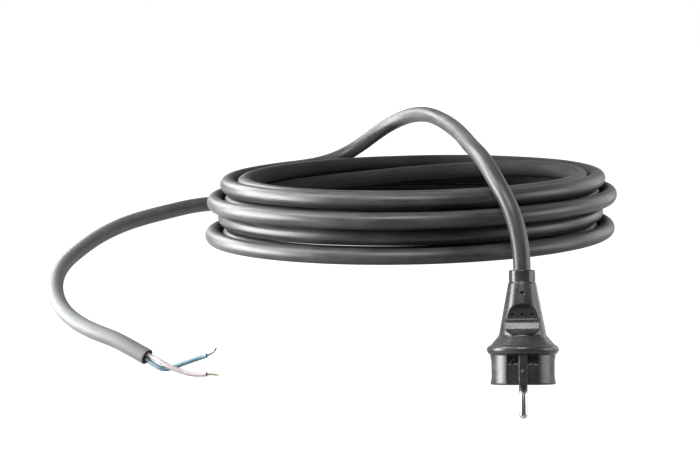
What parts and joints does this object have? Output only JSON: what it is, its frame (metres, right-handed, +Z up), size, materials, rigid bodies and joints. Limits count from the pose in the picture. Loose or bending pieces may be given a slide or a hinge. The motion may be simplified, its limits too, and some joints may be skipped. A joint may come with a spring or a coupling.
{
  "type": "mains supply lead",
  "caption": "Coiled two-core rubber-sheathed mains lead with a moulded two-pin plug on one end and two stripped cores on the other.",
  "frame": {"origin": "middle of the coil's underside, where the coil rests on what carries it", "axes": "+Z up along the coil's axis, -Y towards the side where the plug hangs, -X towards the side where the bare end hangs"},
  "size_m": [0.3642, 0.3035, 0.1641],
  "materials": {
    "sheath_rubber": "extruded rubber, semi-matt",
    "plug_rubber": "moulded rubber, satin",
    "core_brown": "smooth insulation, pale brown",
    "core_blue": "smooth insulation, light blue",
    "copper": "bare stranded copper",
    "carrier_plastic": "glass-filled nylon",
    "pin_nickel": "nickel-plated turned brass"
  },
  "bodies": {
    "root": {"cable_coil": "sheath_rubber", "cable_arch": "sheath_rubber", "cable_tail": "sheath_rubber", "sheath_end": "sheath_rubber", "core_brown": "core_brown", "core_blue": "core_blue", "strands_brown": "copper", "strands_blue": "copper", "plug_body": "plug_rubber", "plug_sheath": "sheath_rubber", "plug_core_brown": "core_brown", "plug_core_blue": "core_blue", "plug_strands_brown": "copper", "plug_strands_blue": "copper", "pin_carrier": "carrier_plastic", "pin_line": "pin_nickel", "pin_neutral": "pin_nickel"}
  },
  "joints": []
}
